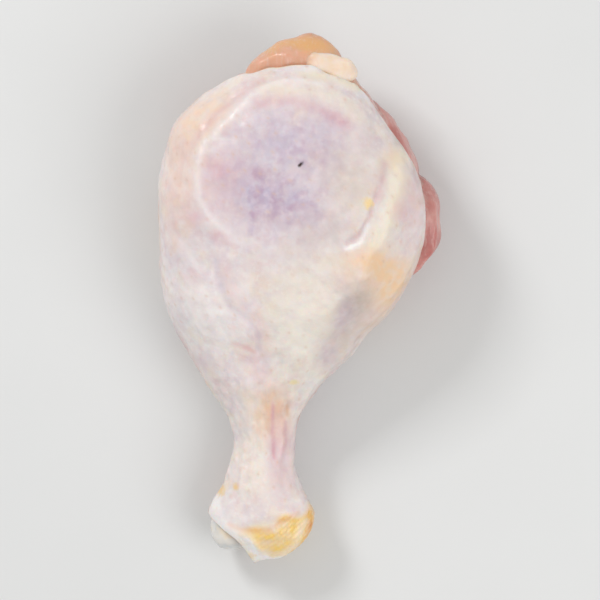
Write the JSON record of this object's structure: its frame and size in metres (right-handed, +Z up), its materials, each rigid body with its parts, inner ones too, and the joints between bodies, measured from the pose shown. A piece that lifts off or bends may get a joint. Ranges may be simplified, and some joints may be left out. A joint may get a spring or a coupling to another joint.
{
  "type": "raw chicken drumstick",
  "caption": "Raw drumstick lying on its side: plump skin-covered calf, narrow shank, hock knob, and bare flesh and gristle-capped bone at the slanting knee cut.",
  "frame": {"origin": "middle of the footprint, on the surface that the drumstick lies on", "axes": "+Y from the hock to the knee, +Z up, +X towards the side where the flesh shows beside the skin"},
  "size_m": [0.0723, 0.1347, 0.0385],
  "materials": {
    "skin": "moist raw poultry skin, pale pinkish cream, yellow scales at the hock",
    "meat": "moist raw flesh, pink with fine fibres and pale films",
    "bone": "bluish white gristle caps on a pale tibia",
    "fat": "soft cream-coloured fat"
  },
  "bodies": {
    "root": {"skin": "skin", "meat": "meat", "bone": "bone", "fat_pad": "fat"}
  },
  "joints": []
}
